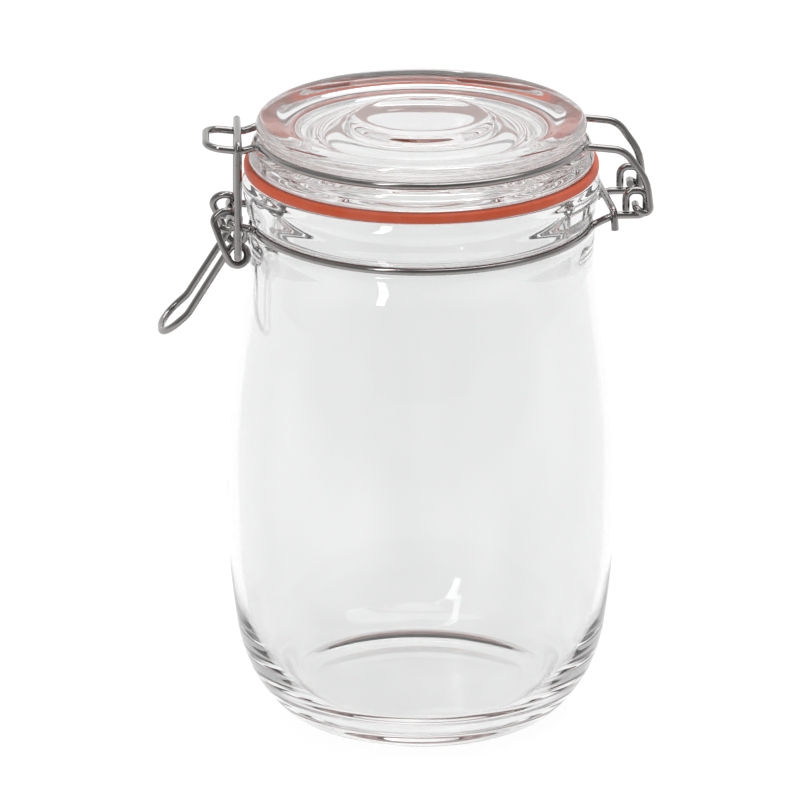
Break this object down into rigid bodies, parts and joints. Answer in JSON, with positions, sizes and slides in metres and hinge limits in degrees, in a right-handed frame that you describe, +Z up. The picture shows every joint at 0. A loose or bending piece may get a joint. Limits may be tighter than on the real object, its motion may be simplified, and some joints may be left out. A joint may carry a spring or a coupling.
{
  "type": "clip top jar",
  "caption": "Round-shouldered glass storage jar with a hinged glass lid, a flat rubber seal and a wire toggle clasp.",
  "frame": {"origin": "middle of the jar's flat base", "axes": "+Z up along the jar's own axis, +X towards the hinge, -X towards the clasp, -Y the side the picture looks from"},
  "size_m": [0.1323, 0.1056, 0.1679],
  "materials": {
    "clear_glass": "clear, polished",
    "orange_rubber": "smooth, satin",
    "bright_steel": "bright drawn wire"
  },
  "bodies": {
    "jar": {"jar_glass": "clear_glass", "neck_wire": "bright_steel", "hinge_tie": "bright_steel"},
    "lid": {"lid_glass": "clear_glass", "seal": "orange_rubber", "lid_wire": "bright_steel"},
    "lever": {"clasp_lever": "bright_steel"},
    "link": {"clasp_link": "bright_steel"}
  },
  "joints": [
    {"name": "lid_hinge", "type": "hinge", "parent": "jar", "child": "lid", "pos_m": [0.0568, 0, 0.1449], "axis": [0, 1, 0], "range_deg": [0, 110]},
    {"name": "lever_pivot", "type": "hinge", "parent": "jar", "child": "lever", "pos_m": [-0.0515, 0, 0.1412], "axis": [0, 1, 0], "range_deg": [0, 115]},
    {"name": "link_pivot", "type": "hinge", "parent": "lever", "child": "link", "pos_m": [-0.0495, 0, 0.1321], "axis": [0, 1, 0], "range_deg": [-127, 0]}
  ],
  "couplings": [
    {"joint": "link_pivot", "follows": "lever_pivot", "ratio": -1.1}
  ]
}
